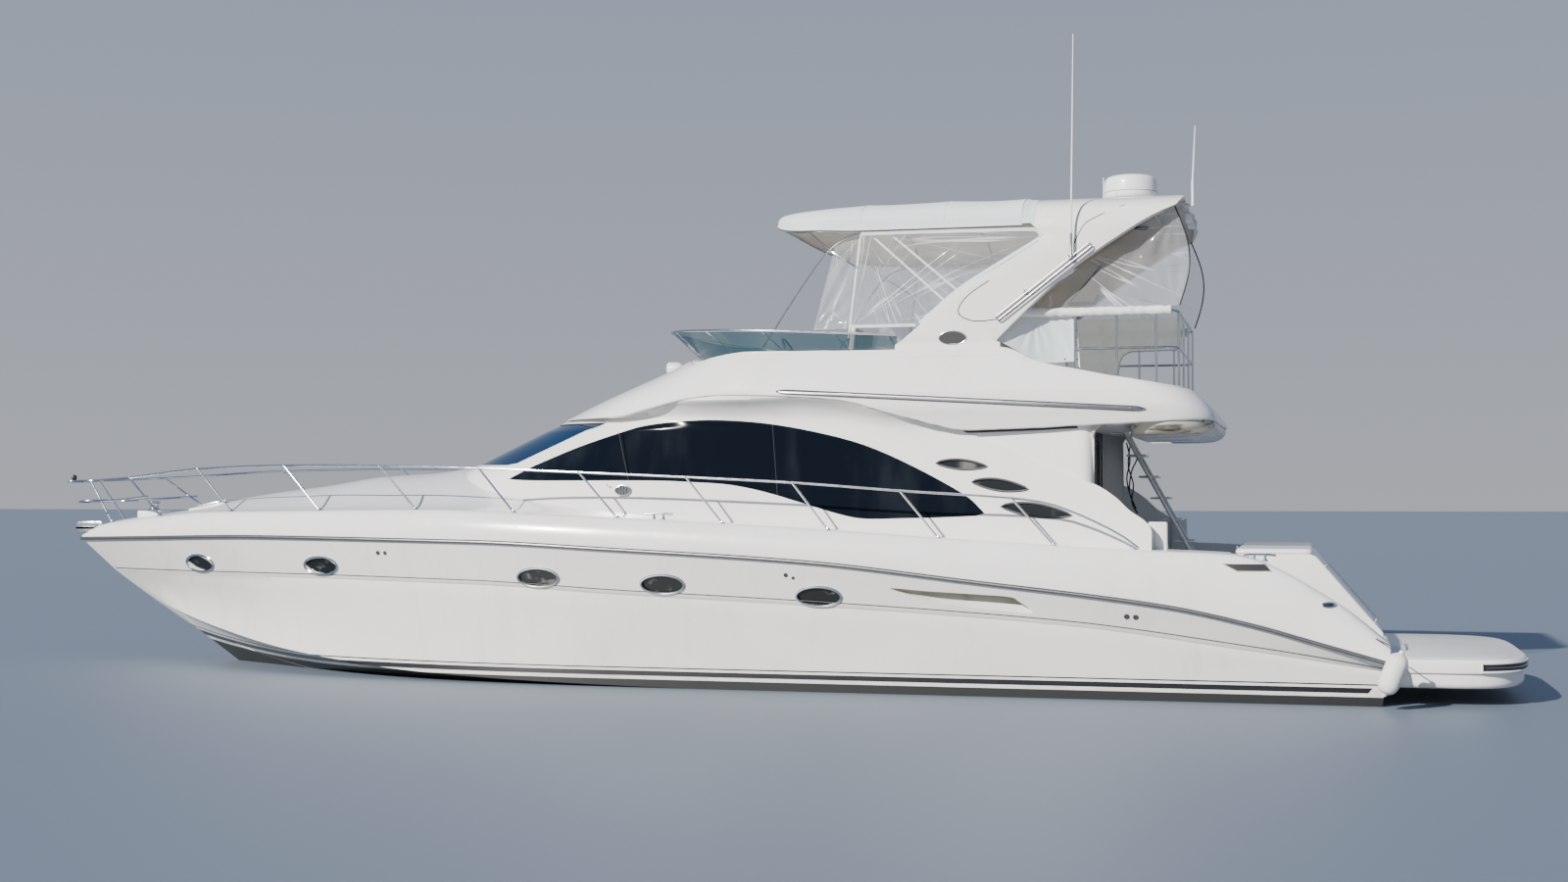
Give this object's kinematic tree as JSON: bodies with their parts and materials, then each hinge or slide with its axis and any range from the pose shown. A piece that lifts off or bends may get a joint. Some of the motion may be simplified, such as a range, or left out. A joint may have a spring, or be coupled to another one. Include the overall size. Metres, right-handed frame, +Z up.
{
  "type": "flybridge motor yacht",
  "caption": "Planing motor yacht with an enclosed saloon, a flybridge under a soft top, a radar arch, a bow rail, a swim platform and shaft drive.",
  "frame": {"origin": "on the centreline at the waterline amidships", "axes": "+X to the bow, +Y to port, +Z up"},
  "size_m": [18.1208, 5.0259, 8.3436],
  "materials": {
    "gelcoat": "glossy white gelcoat on glass-fibre",
    "bottom_paint": "flat black bottom paint",
    "beige_gelcoat": "satin beige gelcoat",
    "polished_steel": "polished stainless steel",
    "dark_glass": "dark tinted toughened glass",
    "tinted_acrylic": "blue-grey tinted acrylic",
    "white_canvas": "coated white awning cloth",
    "clear_vinyl": "creased clear vinyl",
    "upholstery": "white marine vinyl upholstery",
    "engine_enamel": "grey engine enamel",
    "grey_plastic": "matt grey moulding",
    "white_plastic": "white moulded plastic",
    "black_plastic": "black moulded plastic",
    "bronze": "cast bronze",
    "fender_vinyl": "white inflated vinyl"
  },
  "bodies": {
    "root": {"hull": "gelcoat", "deck": "gelcoat", "rub_rail": "polished_steel", "house": "gelcoat", "side_window_port": "dark_glass", "side_window_starboard": "dark_glass", "windscreen": "dark_glass", "saloon_wall": "gelcoat", "saloon_pane": "dark_glass", "flybridge": "gelcoat", "wind_deflector": "tinted_acrylic", "radar_arch": "gelcoat", "soft_top": "white_canvas", "soft_top_frame": "polished_steel", "side_curtain_port": "clear_vinyl", "side_curtain_starboard": "clear_vinyl", "aft_rail": "polished_steel", "weather_cloth_port": "white_canvas", "weather_cloth_starboard": "white_canvas", "helm_console": "gelcoat", "helm_seat": "upholstery", "fly_lounge": "upholstery", "transom_locker": "gelcoat", "swim_platform": "gelcoat", "engine_port": "engine_enamel", "engine_starboard": "engine_enamel", "cockpit_seat": "upholstery", "fly_stairs": "gelcoat", "saloon_dash": "grey_plastic", "saloon_sofa": "upholstery", "side_rail_port": "polished_steel", "side_rail_starboard": "polished_steel", "bow_rail_port": "polished_steel", "bow_rail_starboard": "polished_steel", "pulpit": "polished_steel", "windlass": "polished_steel", "bow_roller": "polished_steel", "radome": "white_plastic", "antenna_stub_port": "polished_steel", "antenna_stub_arch": "polished_steel", "searchlight": "white_plastic", "strut_port": "bronze", "strut_starboard": "bronze", "fender": "fender_vinyl"},
    "saloon_door": {"saloon_door": "dark_glass"},
    "helm_wheel": {"helm_wheel": "polished_steel"},
    "locker_lid": {"locker_lid": "gelcoat"},
    "passage_gate": {"passage_gate": "gelcoat"},
    "engine_hatch": {"engine_hatch": "gelcoat"},
    "foredeck_hatch": {"foredeck_hatch": "dark_glass"},
    "antenna_port": {"antenna_port": "white_plastic"},
    "antenna_arch": {"antenna_arch": "white_plastic"},
    "shaft_port": {"shaft_port": "bronze"},
    "shaft_starboard": {"shaft_starboard": "bronze"},
    "rudder_port": {"rudder_port": "bronze"},
    "rudder_starboard": {"rudder_starboard": "bronze"},
    "trim_tab_port": {"trim_tab_port": "polished_steel"},
    "trim_tab_starboard": {"trim_tab_starboard": "polished_steel"}
  },
  "joints": [
    {"name": "saloon_door_slide", "type": "slide", "parent": "root", "child": "saloon_door", "axis": [0, -1, 0], "range_m": [0, 1.08]},
    {"name": "helm_wheel_turn", "type": "hinge", "parent": "root", "child": "helm_wheel", "pos_m": [-0.93, 0.45, 3.83], "axis": [-0.8776, 0, 0.4794], "range_deg": [-540, 540]},
    {"name": "locker_lid_lift", "type": "hinge", "parent": "root", "child": "locker_lid", "pos_m": [-6.88, 0, 1.523], "axis": [0, -1, 0], "range_deg": [0, 80]},
    {"name": "passage_gate_swing", "type": "hinge", "parent": "root", "child": "passage_gate", "pos_m": [-6.1075, 1.885, 1], "axis": [0, 0, -1], "range_deg": [0, 88]},
    {"name": "engine_hatch_lift", "type": "hinge", "parent": "root", "child": "engine_hatch", "pos_m": [-4.726, 0, 0.856], "axis": [0, 1, 0], "range_deg": [0, 75]},
    {"name": "foredeck_hatch_lift", "type": "hinge", "parent": "root", "child": "foredeck_hatch", "pos_m": [7.222, 0, 1.974], "axis": [0, 1, 0], "range_deg": [0, 90]},
    {"name": "antenna_port_fold", "type": "hinge", "parent": "root", "child": "antenna_port", "pos_m": [-4.4, 1.8, 4.7], "axis": [0, -1, 0], "range_deg": [0, 90]},
    {"name": "antenna_arch_fold", "type": "hinge", "parent": "root", "child": "antenna_arch", "pos_m": [-5.65, 1.205, 5.305], "axis": [0, -1, 0], "range_deg": [0, 90]},
    {"name": "shaft_port_spin", "type": "hinge", "parent": "root", "child": "shaft_port", "pos_m": [-6.42, 0.85, -0.91185], "axis": [-0.9904, 0, -0.1383], "continuous": true},
    {"name": "shaft_starboard_spin", "type": "hinge", "parent": "root", "child": "shaft_starboard", "pos_m": [-6.42, -0.85, -0.91185], "axis": [-0.9904, 0, -0.1383], "continuous": true},
    {"name": "rudder_port_turn", "type": "hinge", "parent": "root", "child": "rudder_port", "pos_m": [-7, 0.85, -0.9], "axis": [0, 0, 1], "range_deg": [-35, 35]},
    {"name": "rudder_starboard_turn", "type": "hinge", "parent": "root", "child": "rudder_starboard", "pos_m": [-7, -0.85, -0.9], "axis": [0, 0, 1], "range_deg": [-35, 35]},
    {"name": "trim_tab_port_tilt", "type": "hinge", "parent": "root", "child": "trim_tab_port", "pos_m": [-7.534, 0.9, -0.326], "axis": [0, -1, 0], "range_deg": [0, 20]},
    {"name": "trim_tab_starboard_tilt", "type": "hinge", "parent": "root", "child": "trim_tab_starboard", "pos_m": [-7.534, -0.9, -0.326], "axis": [0, -1, 0], "range_deg": [0, 20]}
  ],
  "couplings": [
    {"joint": "rudder_starboard_turn", "follows": "rudder_port_turn", "ratio": 1},
    {"joint": "helm_wheel_turn", "follows": "rudder_port_turn", "ratio": -15.4}
  ]
}
